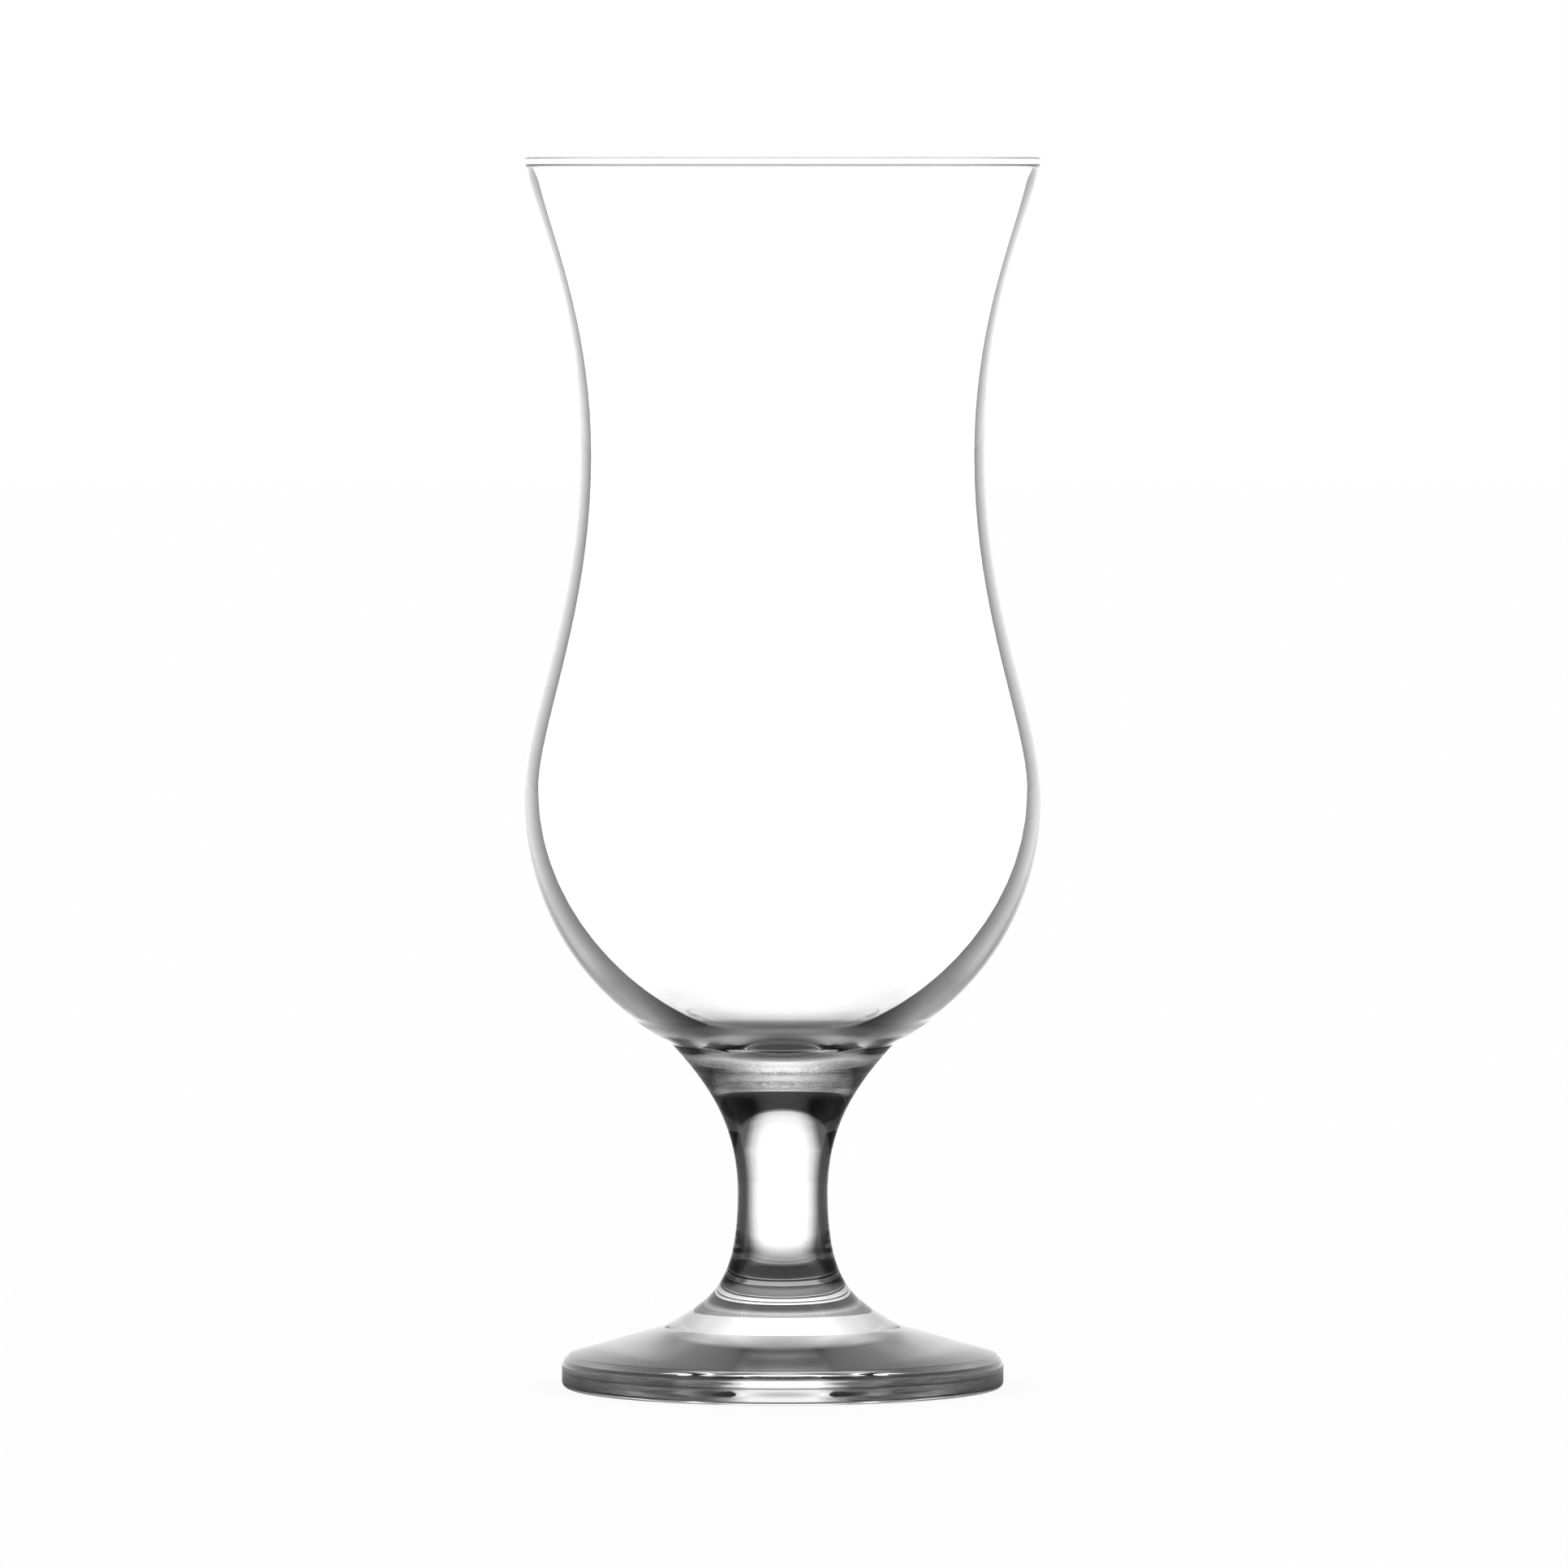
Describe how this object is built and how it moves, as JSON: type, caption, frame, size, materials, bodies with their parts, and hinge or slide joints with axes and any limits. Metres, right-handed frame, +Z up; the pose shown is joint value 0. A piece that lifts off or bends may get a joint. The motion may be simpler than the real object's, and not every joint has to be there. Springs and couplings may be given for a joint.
{
  "type": "hurricane glass",
  "caption": "Tall footed cocktail glass with a flared rim, narrow waist, rounded belly, short solid stem and a low conical foot.",
  "frame": {"origin": "centre of the plane that the foot stands on", "axes": "+Z up along the axis of revolution, from the foot to the rim; X and Y level, with no front because the glass is round"},
  "size_m": [0.08, 0.08, 0.19],
  "materials": {
    "bowl_glass": "clear soda-lime glass, blown and fire-polished",
    "stem_glass": "clear soda-lime glass, pressed and fire-polished",
    "foot_glass": "clear soda-lime glass, pressed and fire-polished"
  },
  "bodies": {
    "root": {"bowl": "bowl_glass", "stem": "stem_glass", "foot": "foot_glass"}
  },
  "joints": []
}
